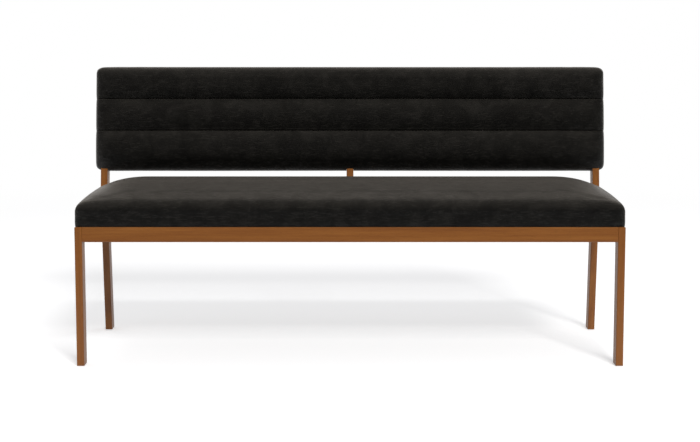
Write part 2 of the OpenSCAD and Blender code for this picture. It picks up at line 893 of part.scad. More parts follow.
module back_panel() {
    centred() color(plywood_colour) on_posts() difference() {
        back_sheet(-back_panel_t, back_panel_t);
        at_panel_screws() screw_cut(screw_l, overrun);
    }
}

module back_board() {
    centred() color(board_colour) on_posts() back_sheet(leg_d, back_board_t);
}

// Flat leather that closes the rear of the back, over the cover's margins
module back_rear_leather() {
    w = 2 * (back_half_w - back_rear_r);
    h = back_h - 2 * back_rear_r;
    centred() color(leather_colour) on_posts()
        translate([-w / 2, back_cover_rear + leather_t, back_mid - h / 2]) rotate([90, 0, 0])
            linear_extrude(height = leather_t) eased_rectangle(w, h, corner_share * back_rear_r);
}

front_leg_left();
front_leg_right();
rear_leg_left();
rear_leg_right();
centre_post();
front_rail();
rear_rail();
side_rail_left();
side_rail_right();
bearer_left();
bearer_right();
corner_block_front_left();
corner_block_front_right();
corner_block_rear_left();
corner_block_rear_right();
rail_dowels();
bearer_dowels();
back_dowels();
corner_block_screws();
seat_screws();
glides();
glide_nails();
seat_board();
seat_foam();
seat_cover();
dust_cloth();
back_top_rail();
back_lower_rail_left();
back_lower_rail_right();
back_panel();
back_panel_screws();
back_foam();
back_cover();
back_board();
back_rear_leather();
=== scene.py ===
# %% [markdown]
# # An upholstered bench
#
# This lesson dresses one piece of furniture: a slim walnut frame that carries a long
# leather seat and a leather back with three sewn channels. The rigid parts already
# exist as exact solids, so here they only get their finishes. Everything soft is
# modelled again, because a cushion is made by its crown, its rolled edges and the
# way its seams pull the leather in.
#
# The script runs from top to bottom. All lengths are metres: X runs along the bench,
# Y from the front to the back, Z up from the floor.

# %% Load the rigid parts
import math

import bmesh
import bpy
from mathutils import Matrix, Vector, noise


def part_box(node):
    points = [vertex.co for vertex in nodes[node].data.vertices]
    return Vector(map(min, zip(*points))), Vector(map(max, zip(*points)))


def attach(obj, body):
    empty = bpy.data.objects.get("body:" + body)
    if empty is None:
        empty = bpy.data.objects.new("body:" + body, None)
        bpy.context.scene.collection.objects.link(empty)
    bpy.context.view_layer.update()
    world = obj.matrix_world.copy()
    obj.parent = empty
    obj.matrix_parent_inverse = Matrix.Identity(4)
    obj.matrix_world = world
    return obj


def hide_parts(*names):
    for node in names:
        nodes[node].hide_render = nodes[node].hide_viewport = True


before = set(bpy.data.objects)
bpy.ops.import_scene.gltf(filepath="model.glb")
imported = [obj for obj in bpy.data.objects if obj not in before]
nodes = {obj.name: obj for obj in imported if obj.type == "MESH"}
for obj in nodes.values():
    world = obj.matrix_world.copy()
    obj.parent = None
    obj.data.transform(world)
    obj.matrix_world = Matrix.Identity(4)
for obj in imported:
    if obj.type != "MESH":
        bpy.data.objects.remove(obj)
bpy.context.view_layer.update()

# %% [markdown]
# ## Units and sizes
#
# Small sizes of upholstery are known in millimetres, so they are written as a number
# times MM. The large ones are read from the solids, so that a cushion always fits
# the frame that carries it. The back leans, so its solids are measured after they
# have been turned upright.

# %% Measure the solids
MM = 0.001
board_face = max(nodes["back_board"].data.polygons, key=lambda face: face.area)
RAKE = math.atan2(abs(board_face.normal.z), abs(board_face.normal.y))
UPRIGHT = Matrix.Rotation(RAKE, 4, "X")


def corners(points):
    """Lowest and highest corner of a cloud of points."""
    return (Vector([min(p[i] for p in points) for i in range(3)]),
            Vector([max(p[i] for p in points) for i in range(3)]))


def upright_box(node):
    """Corners of a solid of the back, turned upright."""
    return corners([UPRIGHT @ vertex.co for vertex in nodes[node].data.vertices])


back_low, back_high = upright_box("back_cover")
seat_low, seat_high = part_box("seat_cover")
board_low, board_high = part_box("seat_board")
print("back leans by", round(math.degrees(RAKE), 2), "degrees")
print("back cushion:", [round(v, 4) for v in back_high - back_low])
print("seat cushion:", [round(v, 4) for v in seat_high - seat_low])

# %% [markdown]
# ## Camera
#
# The photograph looks straight at the front from about eye height of a seated
# person, tilted a little downwards. A long lens far away keeps the legs almost
# parallel. The lens is worked out from the focal length in pixels, which belongs to
# the width of the picture.

# %% Set the camera
PICTURE_W = 700
FOCAL_PIXELS = 1662.2
SENSOR_W = 36.0
CAMERA_HEIGHT = 0.9642
CAMERA_DISTANCE = 4.5537
CAMERA_PITCH = math.radians(6.958)
scene = bpy.context.scene
bench_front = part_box("front_rail")[0].y

camera_data = bpy.data.cameras.new("camera")
camera_data.sensor_width = SENSOR_W
camera_data.lens = FOCAL_PIXELS * SENSOR_W / PICTURE_W
camera = bpy.data.objects.new("camera", camera_data)
camera.location = (0, bench_front - CAMERA_DISTANCE, CAMERA_HEIGHT)
camera.rotation_euler = (math.pi / 2 - CAMERA_PITCH, 0, 0)
scene.collection.objects.link(camera)
scene.camera = camera
print("lens:", round(camera_data.lens, 1), "mm")

# %% [markdown]
# ## Colours
#
# Colours are picked as web colours, which are coded for a screen, while shaders
# count light. One function turns the first into the second.

# %% Colour helper


def colour(code):
    """Linear colour of a web colour such as 85572f, by the sRGB rule."""
    channels = [int(code[i:i + 2], 16) / 255 for i in (0, 2, 4)]
    return [c / 12.92 if c <= 0.04045 else ((c + 0.055) / 1.055) ** 2.4 for c in channels] + [1]


# %% [markdown]
# ## Node helper
#
# Every finish is a small network of shader nodes. One function adds a node, sets
# its properties and joins its inputs, so that a material reads as a list of steps.
# An input is a value, or the output of an earlier node. It goes by its name, or by
# its number where several inputs of a node share a name. The stops of a colour ramp
# are pairs of a place and a web colour.

# %% Node helper


def lay_stops(color_ramp, stops):
    """Gives a colour ramp its stops."""
    while len(color_ramp.elements) < len(stops):
        color_ramp.elements.new(0.5)
    for element, (place, code) in zip(color_ramp.elements, stops):
        element.position = place
        element.color = colour(code)


def add(material, kind, settings=None, output=0, **inputs):
    """Adds a node and returns an output of it. Inputs are Named_Like_This or _number."""
    tree = material.node_tree
    node = tree.nodes.new(kind)
    for name, value in (settings or {}).items():
        if name == "stops":
            lay_stops(node.color_ramp, value)
        else:
            setattr(node, name, value)
    for name, value in inputs.items():
        key = int(name[1:]) if name[0] == "_" else name.replace("_", " ")
        if isinstance(value, bpy.types.NodeSocket):
            tree.links.new(value, node.inputs[key])
        else:
            node.inputs[key].default_value = value
    return node.outputs[output] if len(node.outputs) else node


def new_material(name):
    """An empty material."""
    material = bpy.data.materials.new(name)
    material.use_nodes = True
    material.node_tree.nodes.clear()
    return material


# %% [markdown]
# ## Floor
#
# The bench stands on a white paper sweep that has no visible end: the photograph
# shows pure white, with one faint, wide shadow behind the bench and a fainter one
# under it. The floor is painted, so that it takes these shadows. A part of its white
# is added for the camera and for reflections alone, so that no extra light reaches
# the bench. Further behind, the paint gives way to that even white. In front the
# paper ends just outside the picture; from there on the studio floor is dark, so the
# leather that faces the camera has nothing bright to mirror and stays black.

# %% Floor
FLOOR_SIZE = 40.0
FLOOR_LIFT = 0.45
SWEEP_START = 2.2
SWEEP_END = 5.0
PAPER_END = -1.15
PAPER_FADE = 0.3
scene.view_settings.view_transform = "Standard"


def seen_rays(material):
    """1 for the camera, for reflections and for rays through something, else 0."""
    rays = add(material, "ShaderNodeLightPath", output="Is Camera Ray")
    seen = rays
    for kind in ("Is Glossy Ray", "Is Transmission Ray"):
        seen = add(material, "ShaderNodeMath", {"operation": "ADD", "use_clamp": True},
                   _0=seen, _1=rays.node.outputs[kind])
    return seen


# White paper sweep, with dark floor boards beyond its front end
sweep = new_material("white_sweep")
seen = seen_rays(sweep)
place = add(sweep, "ShaderNodeTexCoord", output="Object")
far = add(sweep, "ShaderNodeVectorMath", {"operation": "LENGTH"}, output="Value", Vector=place)
far = add(sweep, "ShaderNodeMapRange", {"interpolation_type": "SMOOTHSTEP"},
          Value=far, From_Min=SWEEP_START, From_Max=SWEEP_END)
depth = add(sweep, "ShaderNodeSeparateXYZ", output="Y", Vector=place)
ahead = add(sweep, "ShaderNodeMapRange", {"interpolation_type": "SMOOTHSTEP"},
            Value=depth, From_Min=PAPER_END, From_Max=PAPER_END - PAPER_FADE)
grain = add(sweep, "ShaderNodeTexNoise", Vector=place, Scale=60.0, Detail=3.0)
paper = add(sweep, "ShaderNodeValToRGB", {"stops": [(0.3, "eeeeee"), (0.7, "f2f2f2")]}, Fac=grain)
paint = add(sweep, "ShaderNodeBsdfDiffuse", Color=paper)
lift = add(sweep, "ShaderNodeEmission", Color=colour("ffffff"), Strength=FLOOR_LIFT)
dark = add(sweep, "ShaderNodeEmission", Color=colour("000000"), Strength=0.0)
near_white = add(sweep, "ShaderNodeAddShader", _0=paint,
                 _1=add(sweep, "ShaderNodeMixShader", Fac=seen, _1=dark, _2=lift))
white = add(sweep, "ShaderNodeEmission", Color=colour("ffffff"), Strength=1.0)
far_white = add(sweep, "ShaderNodeMixShader", Fac=seen, _1=dark, _2=white)
behind = add(sweep, "ShaderNodeMixShader", Fac=far, _1=near_white, _2=far_white)
boards = add(sweep, "ShaderNodeBsdfDiffuse", Color=colour("2a2622"))
add(sweep, "ShaderNodeOutputMaterial",
    Surface=add(sweep, "ShaderNodeMixShader", Fac=ahead, _1=behind, _2=boards))

bpy.ops.object.select_all(action="DESELECT")
bpy.ops.mesh.primitive_plane_add(size=FLOOR_SIZE, location=(0, 0, 0))
floor = bpy.context.object
floor.name = "floor"
floor.data.materials.append(sweep)
print("floor:", FLOOR_SIZE, "m, white from", SWEEP_END, "m on")

# %% [markdown]
# ## Light
#
# The room is white behind the bench, a little warmer further up, and dark on the
# camera's side, where it only brightens towards the ceiling. The white is what the
# seat mirrors at a flat angle, and what makes its top grey, while everything that
# faces the camera stays black. For all other light the room shines evenly and weakly.
#
# In the photograph the shadow lies behind the bench and a little to its left, and the
# right rear leg is lighter than the left one. Both come from one large soft box far
# off, in front and to the right, about 32 degrees high. Two weaker ones hang overhead
# and a little behind: they put the faint shadow under the front of the seat and make
# each channel of the back lighter above than below. Only one of these shows in
# reflections, because the leather shows no spots.

# %% World
ROOM_STRENGTH = 0.3
DARK_ROOM = 0.05
world = bpy.data.worlds.new("studio")
scene.world = world
world.use_nodes = True
world.node_tree.nodes.clear()
seen = seen_rays(world)
way = add(world, "ShaderNodeTexCoord", output="Object")
behind = add(world, "ShaderNodeSeparateXYZ", output="Y", Vector=way)
height = add(world, "ShaderNodeSeparateXYZ", output="Z", Vector=way)
ahead = add(world, "ShaderNodeMapRange",
            Value=height, From_Min=0.02, From_Max=0.62, To_Min=DARK_ROOM, To_Max=1.0)
bright = add(world, "ShaderNodeMapRange", {"interpolation_type": "SMOOTHSTEP"},
             Value=behind, From_Min=-0.1, From_Max=0.75, To_Min=ahead, To_Max=1.0)
ceiling = add(world, "ShaderNodeValToRGB", {"stops": [(0.15, "ffffff"), (0.5, "fff5e8")]},
              Fac=height)
room = add(world, "ShaderNodeBackground", Color=colour("fbfbff"), Strength=ROOM_STRENGTH)
white = add(world, "ShaderNodeBackground", Color=ceiling, Strength=bright)
add(world, "ShaderNodeOutputWorld",
    Surface=add(world, "ShaderNodeMixShader", Fac=seen, _1=room, _2=white))
print("room light:", ROOM_STRENGTH)

# %% Lamps
AIM = Vector((0, 0, 0.4))


def soft_box(name, azimuth, height, distance, size, power, mirrored):
    """Area lamp seen from the bench at two angles in degrees, 0 being straight in front."""
    lamp = bpy.data.lights.new(name, "AREA")
    lamp.shape = "RECTANGLE"
    lamp.size, lamp.size_y = size
    lamp.energy = power
    turn, rise = math.radians(azimuth), math.radians(height)
    way = Vector((math.sin(turn) * math.cos(rise), -math.cos(turn) * math.cos(rise),
                  math.sin(rise)))
    holder = bpy.data.objects.new(name, lamp)
    holder.location = AIM + way * distance
    holder.rotation_euler = (-way).to_track_quat("-Z", "Y").to_euler()
    holder.visible_glossy = mirrored
    scene.collection.objects.link(holder)
    print(name, [round(v, 2) for v in holder.location], power, "W")


soft_box("key_box", 15, 32.5, 12.0, (3.6, 2.7), 1150, mirrored=False)
soft_box("roof_box", 180, 77, 5.0, (5.0, 1.2), 16, mirrored=False)
soft_box("top_box", 180, 77, 5.0, (5.0, 1.2), 44, mirrored=True)

# %% [markdown]
# ## Walnut
#
# The frame is walnut-stained hardwood under a satin lacquer. Seen from a step away
# it is an even warm brown with faint streaks; close up there are fine dark pores,
# a millimetre or two long, that follow the grain. Each member is sawn from another
# stretch of board, so each one gets its own copy of the finish, shifted to another
# place in the pattern, with the grain along its length. All three patterns are the
# same noise, only stretched: thin across the grain and long along it.

# %% Timber finish
ALONG = {"x": (0, math.pi / 2, 0), "y": (math.pi / 2, 0, 0), "z": (0, 0, 0)}
GRAIN = {"streaks": (14 * MM, 420 * MM, 5.0), "fibres": (1.6 * MM, 90 * MM, 3.0),
         "pores": (0.9 * MM, 14 * MM, 2.0)}
SHIFT_SHARES = (1, 0.7, 1.3)
FIBRE_SHARE = 0.38
PORE_SHARE = 0.5
ROUGHNESS_SPREAD = 0.1


def timber(name, along, shift, tones, pore_tone, roughness):
    """Sawn hardwood: wide streaks, fine fibres and short pores along the grain."""
    material = new_material(name)
    place = add(material, "ShaderNodeTexCoord", output="Object")
    run = add(material, "ShaderNodeMapping", Vector=place, Rotation=ALONG[along],
              Location=[shift * share for share in SHIFT_SHARES])
    grain = {}
    for pattern, (thin, long, detail) in GRAIN.items():
        stretch = add(material, "ShaderNodeMapping", Vector=run,
                      Scale=(1 / thin, 1 / thin, 1 / long))
        grain[pattern] = add(material, "ShaderNodeTexNoise", Vector=stretch, Scale=1.0,
                             Detail=detail, Roughness=0.55, Distortion=0.4)
    mixed = add(material, "ShaderNodeMix", {"data_type": "FLOAT"},
                _0=FIBRE_SHARE, _2=grain["streaks"], _3=grain["fibres"])
    wood = add(material, "ShaderNodeValToRGB", {"stops": tones}, Fac=mixed)
    pore = add(material, "ShaderNodeValToRGB", {"stops": [(0.60, "000000"), (0.72, "ffffff")]},
               Fac=grain["pores"])
    shade = add(material, "ShaderNodeMath", {"operation": "MULTIPLY"}, _0=pore, _1=PORE_SHARE)
    tint = add(material, "ShaderNodeMix", {"data_type": "RGBA"}, output=2,
               _0=shade, _6=wood, _7=colour(pore_tone))
    rough = add(material, "ShaderNodeMapRange", Value=grain["fibres"],
                To_Min=roughness, To_Max=roughness + ROUGHNESS_SPREAD)
    relief = add(material, "ShaderNodeMath", {"operation": "SUBTRACT"}, _0=grain["fibres"], _1=pore)
    bump = add(material, "ShaderNodeBump", Strength=0.12, Distance=0.2 * MM, Height=relief)
    shader = add(material, "ShaderNodeBsdfPrincipled", Base_Color=tint, Roughness=rough,
                 Normal=bump, IOR=1.5, Specular_IOR_Level=0.4)
    add(material, "ShaderNodeOutputMaterial", Surface=shader)
    return material


def give(node, material):
    """Puts one finish on a solid."""
    slots = nodes[node].data.materials
    slots.clear()
    slots.append(material)


# %% Walnut members
WALNUT_TONES = [(0.25, "673a16"), (0.45, "79481c"), (0.6, "845222"), (0.8, "915d2a")]
WALNUT_PORE = "4a2a10"
MEMBERS = {
    "front_rail": ("x", 0.0), "rear_rail": ("x", 3.1),
    "side_rail_left": ("y", 5.3), "side_rail_right": ("y", 7.7),
    "front_leg_left": ("z", 9.2), "front_leg_right": ("z", 33.3),
    "rear_leg_left": ("z", 13.4), "rear_leg_right": ("z", 15.8), "centre_post": ("z", 17.1),
}
# Lacquered walnut, a copy for each member
for node, (along, shift) in MEMBERS.items():
    give(node, timber("walnut_" + node, along, shift, WALNUT_TONES, WALNUT_PORE, roughness=0.4))
print("walnut members:", len(MEMBERS))

# %% [markdown]
# ## Inner timber, plywood and board
#
# What nobody sees is cheaper: planed beech for the bearers, blocks and dowels,
# birch plywood for the seat board and the panel in the back, and brown hardboard
# behind the posts. They are left without lacquer, so they are paler and duller.

# %% Hidden timber finishes
BEECH_TONES = [(0.25, "b98d5e"), (0.5, "c8a173"), (0.8, "d6b58b")]
PLY_TONES = [(0.25, "bd9764"), (0.5, "cfae7d"), (0.8, "dcc295")]
HARDBOARD_TONES = [(0.3, "4e3a28"), (0.55, "5f4936"), (0.8, "6f5843")]

# Planed beech, with its grain along the bench and across it
beech_x = timber("beech_along", "x", 1.0, BEECH_TONES, "8d6339", roughness=0.6)
beech_y = timber("beech_across", "y", 2.0, BEECH_TONES, "8d6339", roughness=0.6)
# Sanded birch plywood
plywood = timber("birch_plywood", "x", 4.0, PLY_TONES, "a57f4e", roughness=0.62)
# Brown pressed hardboard
hardboard = timber("hardboard", "x", 6.0, HARDBOARD_TONES, "3c2b1c", roughness=0.55)
for node in nodes:
    if node.endswith("dowels") or node.startswith(("back_top", "back_lower")):
        give(node, beech_x)
    elif node.startswith(("bearer", "corner_block")):
        give(node, beech_y)
give("seat_board", plywood)
give("back_panel", plywood)
give("back_board", hardboard)
print("inner finishes: beech, plywood, hardboard")

# %% [markdown]
# ## Steel and plastic
#
# The screws, nails and staples are zinc-plated steel, a pale metal with a faint
# mottle. The glides under the feet are black polypropylene with a fine moulded
# texture. Both are one even tone with a fine speckle in it, so one function makes
# them; what else the shader needs is passed on to it.

# %% Metal and plastic finishes
SPECKLE_STOPS = (0.3, 0.7)
SPECKLE_BUMP = 0.2


def speckled(name, speck, detail, tones, roughness, relief=0.0, **finish):
    """Even finish with a fine speckle in its tone and roughness, and in its relief if any."""
    material = new_material(name)
    place = add(material, "ShaderNodeTexCoord", output="Object")
    specks = add(material, "ShaderNodeTexNoise", Vector=place, Scale=1 / speck, Detail=detail)
    tone = add(material, "ShaderNodeValToRGB", {"stops": list(zip(SPECKLE_STOPS, tones))},
               Fac=specks)
    rough = add(material, "ShaderNodeMapRange", Value=specks,
                To_Min=roughness[0], To_Max=roughness[1])
    if relief:
        finish["Normal"] = add(material, "ShaderNodeBump", Strength=SPECKLE_BUMP,
                               Distance=relief, Height=specks)
    shader = add(material, "ShaderNodeBsdfPrincipled", Base_Color=tone, Roughness=rough, **finish)
    add(material, "ShaderNodeOutputMaterial", Surface=shader)
    return material


# Zinc-plated steel
steel = speckled("zinc_plated_steel", 2.5 * MM, 3.0, ("a9adb0", "c4c7c9"), (0.28, 0.45),
                 Metallic=1.0)
# Moulded black plastic
plastic = speckled("black_polypropylene", 0.4 * MM, 2.0, ("161616", "222222"), (0.45, 0.6),
                   relief=0.05 * MM, IOR=1.49)
for node in ("corner_block_screws", "seat_screws", "back_panel_screws", "glide_nails"):
    give(node, steel)
give("glides", plastic)
print("small parts: steel and black plastic")

# %% [markdown]
# ## Black leather
#
# The leather is dyed through and waxed, so it is almost black, matt, and lightens
# where it has been bent: clouds the size of a hand, and short level marks a few
# centimetres long. Up close there is a net of tiny flat pebbles parted by thin
# creases. The clouds and marks go into the colour, the roughness and the strength of
# the reflections, the marks and pebbles into the bump. The thin creases between the
# pebbles are also painted darker in the colour, as painted shade. A weak sheen stands
# for the fine nap that makes such leather look grey where it is seen almost edge on.

# %% Leather finish
PEBBLE = 1.3 * MM
CLOUD = 52 * MM
MARK = (30 * MM, 9 * MM, 6 * MM)
MARK_SHARE = 0.28
MARK_DEPTH = 5.0


def leather(name, tones):
    """Waxed leather with clouds, marks and pebbles."""
    material = new_material(name)
    place = add(material, "ShaderNodeTexCoord", output="Object")
    clouds = add(material, "ShaderNodeTexNoise", Vector=place, Scale=1 / CLOUD, Detail=6.0,
                 Roughness=0.68, Distortion=0.6)
    stretch = add(material, "ShaderNodeMapping", Vector=place, Scale=[1 / size for size in MARK])
    marks = add(material, "ShaderNodeTexNoise", Vector=stretch, Scale=1.0, Detail=4.0,
                Roughness=0.6, Distortion=1.6)
    marks = add(material, "ShaderNodeMapRange", {"interpolation_type": "SMOOTHSTEP"},
                Value=marks, From_Min=0.5, From_Max=0.72)
    bent = add(material, "ShaderNodeMath", {"operation": "MULTIPLY_ADD"},
               _0=marks, _1=MARK_SHARE, _2=clouds)
    tone = add(material, "ShaderNodeValToRGB", {"stops": tones}, Fac=bent)
    cells = add(material, "ShaderNodeTexVoronoi", {"feature": "DISTANCE_TO_EDGE"}, Vector=place,
                Scale=1 / PEBBLE)
    pebble = add(material, "ShaderNodeMapRange", {"interpolation_type": "SMOOTHSTEP"},
                 Value=cells, From_Min=0.0, From_Max=0.16)
    # Painted shade: the colour is darkened by up to 30 % in the thin creases between the pebbles.
    painted_crease_shade = add(material, "ShaderNodeMapRange", Value=pebble, To_Min=0.7, To_Max=1.0)
    base = add(material, "ShaderNodeVectorMath", {"operation": "SCALE"}, Vector=tone, Scale=painted_crease_shade)
    rough = add(material, "ShaderNodeMapRange", Value=bent,
                From_Min=0.3, From_Max=0.8, To_Min=0.5, To_Max=0.36)
    wax = add(material, "ShaderNodeMapRange", Value=bent,
              From_Min=0.3, From_Max=0.8, To_Min=0.18, To_Max=0.31)
    height = add(material, "ShaderNodeMath", {"operation": "MULTIPLY_ADD"},
                 _0=marks, _1=-MARK_DEPTH, _2=pebble)
    bump = add(material, "ShaderNodeBump", Strength=0.6, Distance=0.12 * MM, Height=height)
    shader = add(material, "ShaderNodeBsdfPrincipled", Base_Color=base, Roughness=rough,
                 Normal=bump, IOR=1.48, Specular_IOR_Level=wax, Sheen_Weight=0.165,
                 Sheen_Roughness=0.4, Sheen_Tint=colour("fff4e6"))
    add(material, "ShaderNodeOutputMaterial", Surface=shader)
    return material


LEATHER_TONES = [(0.30, "020202"), (0.5, "050504"), (0.72, "100f0d")]
# Waxed black leather
black_leather = leather("black_leather", LEATHER_TONES)
print("leather:", black_leather.name)

# %% [markdown]
# ## Thread and dust cloth
#
# The thread of the seams is black polyester, a little glossy and spun from fine
# strands. The cloth under the seat is nonwoven: short black fibres pressed flat, with
# a regular grid of small bonded dimples.

# %% Thread and cloth finishes
DIMPLE = 2.2 * MM
FIBRE = 0.7 * MM


def nonwoven_cloth():
    """Pressed black fibres with a regular grid of small dimples."""
    material = new_material("black_nonwoven_cloth")
    place = add(material, "ShaderNodeTexCoord", output="Object")
    fibres = add(material, "ShaderNodeTexNoise", Vector=place, Scale=1 / FIBRE, Detail=4.0,
                 Roughness=0.7)
    dimples = add(material, "ShaderNodeTexVoronoi", Vector=place, Scale=1 / DIMPLE, Randomness=0.15)
    dimple = add(material, "ShaderNodeMapRange", Value=dimples, From_Min=0.1, From_Max=0.35)
    tone = add(material, "ShaderNodeValToRGB", {"stops": [(0.3, "121212"), (0.7, "242424")]},
               Fac=fibres)
    height = add(material, "ShaderNodeMath", {"operation": "MULTIPLY_ADD"},
                 _0=fibres, _1=0.5, _2=dimple)
    bump = add(material, "ShaderNodeBump", Strength=0.5, Distance=0.15 * MM, Height=height)
    shader = add(material, "ShaderNodeBsdfPrincipled", IOR=1.5, Specular_IOR_Level=0.3,
                 Base_Color=tone, Roughness=0.85, Normal=bump)
    add(material, "ShaderNodeOutputMaterial", Surface=shader)
    return material


# Spun black polyester
thread_finish = speckled("black_polyester_thread", 0.3 * MM, 2.0, ("040404", "0b0a09"),
                         (0.45, 0.65), IOR=1.5, Specular_IOR_Level=0.2)
# Black nonwoven cloth
cloth_finish = nonwoven_cloth()
print("thread and cloth ready")

# %% [markdown]
# ## A cushion as a block of cells
#
# Both cushions start as one cube at its size. Its long edges are cut into cells of
# about 8 mm, so that the block can bend everywhere. A cut is made by selecting the
# edges that run one way and subdividing them, which leaves a clean grid. The back
# is cut in bands between its seams, so that each seam gets a row of its own.

# %% Block helper
CELL = 8 * MM
PARALLEL = 0.99


def pick(piece):
    """Selects one piece alone and makes it active."""
    bpy.ops.object.select_all(action="DESELECT")
    piece.select_set(True)
    bpy.context.view_layer.objects.active = piece


def edit(piece):
    """Selects one piece alone and opens its mesh."""
    pick(piece)
    bpy.ops.object.mode_set(mode="EDIT")


def pick_edges(piece, axis, low, high):
    """Selects the edges that run along an axis between two places."""
    bpy.ops.mesh.select_mode(type="EDGE")
    bpy.ops.mesh.select_all(action="DESELECT")
    mesh = bmesh.from_edit_mesh(piece.data)
    slack = 0.5 * MM
    for edge in mesh.edges:
        a, b = (v.co for v in edge.verts)
        run = b - a
        between = min(a[axis], b[axis]) > low - slack and max(a[axis], b[axis]) < high + slack
        if between and abs(run[axis]) > PARALLEL * run.length:
            edge.select_set(True)
    bmesh.update_edit_mesh(piece.data)


def cube(low, high):
    """Cube between two corners."""
    bpy.ops.object.select_all(action="DESELECT")
    bpy.ops.mesh.primitive_cube_add(size=1, location=(low + high) / 2)
    piece = bpy.context.object
    piece.scale = high - low
    bpy.ops.object.transform_apply(location=True, rotation=True, scale=True)
    return piece


def block(name, low, high, bands):
    """Cube in cells, with a row at each band's end along Y."""
    piece = cube(low, high)
    piece.name = name
    edit(piece)
    for place in bands:
        bpy.ops.mesh.select_all(action="SELECT")
        bpy.ops.mesh.bisect(plane_co=(0, place, 0), plane_no=(0, 1, 0))
    stops = [low.y] + list(bands) + [high.y]
    ranges = [(0, low.x, high.x), (2, low.z, high.z)]
    ranges += [(1, a, b) for a, b in zip(stops, stops[1:])]
    for axis, a, b in ranges:
        pick_edges(piece, axis, a, b)
        bpy.ops.mesh.subdivide(number_cuts=max(1, round((b - a) / CELL) - 1))
    bpy.ops.object.mode_set(mode="OBJECT")
    return piece


# %% [markdown]
# ## Rounding a block over
#
# A bevelled cube can't give what foam does: the outline's corners are tighter at the
# sides than on top, and the roll is wider in front than behind. So the block's
# points are moved by a rule. Each point knows how far it is from the edge of its
# face; that distance is laid along the quarter circle of the roll, and near a corner
# the two edges share out one arc.

# %% Rounding helper
CORNER_SHARE = 0.5


def around_corner(gap, share):
    """Place on one level's corner, from its straight side (0) to its diagonal (1)."""
    radius = CORNER_SHARE * gap
    straight = gap - radius
    run = share * (straight + radius * math.pi / 4)
    if run <= straight:
        return gap, run
    angle = (run - straight) / radius
    return straight + radius * math.cos(angle), straight + radius * math.sin(angle)


def roll_place(kind, distance, radius):
    """(inset, drop) of a point: on the face, by its distance from the edge, or on the side."""
    if kind == "side" and distance >= radius:
        return 0.0, distance
    if kind == "face" and distance >= radius:
        return distance, 0.0
    half = distance / radius * math.pi / 4
    angle = math.pi / 4 + half if kind == "face" else math.pi / 4 - half
    return radius * (1 - math.cos(angle)), radius * (1 - math.sin(angle))


def round_over(piece, top_roll, base_roll, land):
    """Moves a block's points onto a form with rolled edges. Returns each point's level."""
    points = [v.co.copy() for v in piece.data.vertices]
    low, high = corners(points)
    centre, half = (low + high) / 2, (high - low) / 2
    thick = high.z - low.z
    start = top_roll + land
    core = (half.x - start, half.y - start)
    tiny = 0.01 * MM
    levels = []
    for vertex, p in zip(piece.data.vertices, points):
        out = [max(abs(p[i] - centre[i]) - core[i], 0) for i in (0, 1)]
        most = max(out)
        on_top, on_base = p.z > high.z - tiny, p.z < low.z + tiny
        if most > start - tiny and not on_top and not on_base:
            drop_top, drop_base = high.z - p.z, p.z - low.z
            if drop_base < base_roll:
                inset, rise = roll_place("side", drop_base, base_roll)
                drop = thick - rise
            else:
                inset, drop = roll_place("side", drop_top, top_roll)
        elif on_top:
            inset, drop = roll_place("face", start - most, top_roll)
        else:
            inset, rise = roll_place("face", start - most, base_roll)
            drop = thick - rise
        if most > 0:
            gap = start - inset
            major, minor = around_corner(gap, min(out) / most)
            moved = [major, minor] if out[0] >= out[1] else [minor, major]
            for i in (0, 1):
                if out[i] > 0:
                    side = 1 if p[i] > centre[i] else -1
                    vertex.co[i] = centre[i] + side * (core[i] + moved[i])
        vertex.co.z = high.z - drop
        levels.append((inset, drop))
    return levels


# %% [markdown]
# ## Letting the foam push
#
# Real padding presses its cover out until the leather is tight, and the cover gives
# where nothing holds it. Cloth simulation does the same: the form starts a little
# too small, inner pressure drives it out for twenty frames, and the points that are
# sewn, stapled or backed by wood are held. Foam only pushes outwards, so of each
# point's move only the part along its own normal counts, up to what the foam can give.
# One subdivision afterwards halves the cells and rounds what is left of their edges.

# %% Swelling helper
PRESSURE = 4.0
SIM_FRAMES = 20


def swell(piece, held, slack, travel):
    """Inflates a closed cover. held(point) is 1 where it can't move, 0 where it is free."""
    mesh = piece.data
    hold = [held(v.co) for v in mesh.vertices]
    normals = [v.normal.copy() for v in mesh.vertices]
    group = piece.vertex_groups.new(name="held")
    for vertex, normal, share in zip(mesh.vertices, normals, hold):
        vertex.co -= normal * slack * (1 - share)
        group.add([vertex.index], share, "REPLACE")
    rest = [v.co.copy() for v in mesh.vertices]
    cloth = piece.modifiers.new("leather", "CLOTH")
    cloth.point_cache.frame_start = 1
    cloth.point_cache.frame_end = SIM_FRAMES
    stuff = cloth.settings
    stuff.quality = 6
    stuff.mass = 0.4
    stuff.tension_stiffness = stuff.compression_stiffness = 30
    stuff.shear_stiffness = 15
    stuff.bending_stiffness = 2
    stuff.use_pressure = True
    stuff.uniform_pressure_force = PRESSURE
    stuff.vertex_group_mass = group.name
    stuff.effector_weights.gravity = 0
    for number in range(1, SIM_FRAMES + 1):
        scene.frame_set(number)
    shaped = piece.evaluated_get(bpy.context.evaluated_depsgraph_get())
    pushed = [v.co.copy() for v in shaped.data.vertices]
    piece.modifiers.remove(cloth)
    scene.frame_set(1)
    total = 0
    for vertex, normal, start, end in zip(mesh.vertices, normals, rest, pushed):
        push = min(max((end - start).dot(normal), 0), travel)
        vertex.co = start + normal * push
        total += push
    print(piece.name, "swelled by", round(total / len(rest) / MM, 2), "mm on average")


def smooth_once(piece):
    """One subdivision, applied."""
    modifier = piece.modifiers.new("soften", "SUBSURF")
    modifier.levels = modifier.render_levels = 1
    pick(piece)
    bpy.ops.object.modifier_apply(modifier="soften")


# %% [markdown]
# ## The seat: block, crown and drawn-in sides
#
# The seat is a slab of firm foam on a plywood board under one piece of leather. Its
# top rises quickly from the edges to a long, almost level crown, its edges roll over
# and its sides draw in towards the rails. The crown is a parabola in both
# directions, which is the shape of a skin under even pressure. Between its corners
# the cover pulls the foam in a little, and at each corner the spare leather is tucked
# away, which leaves one shallow upright fold.

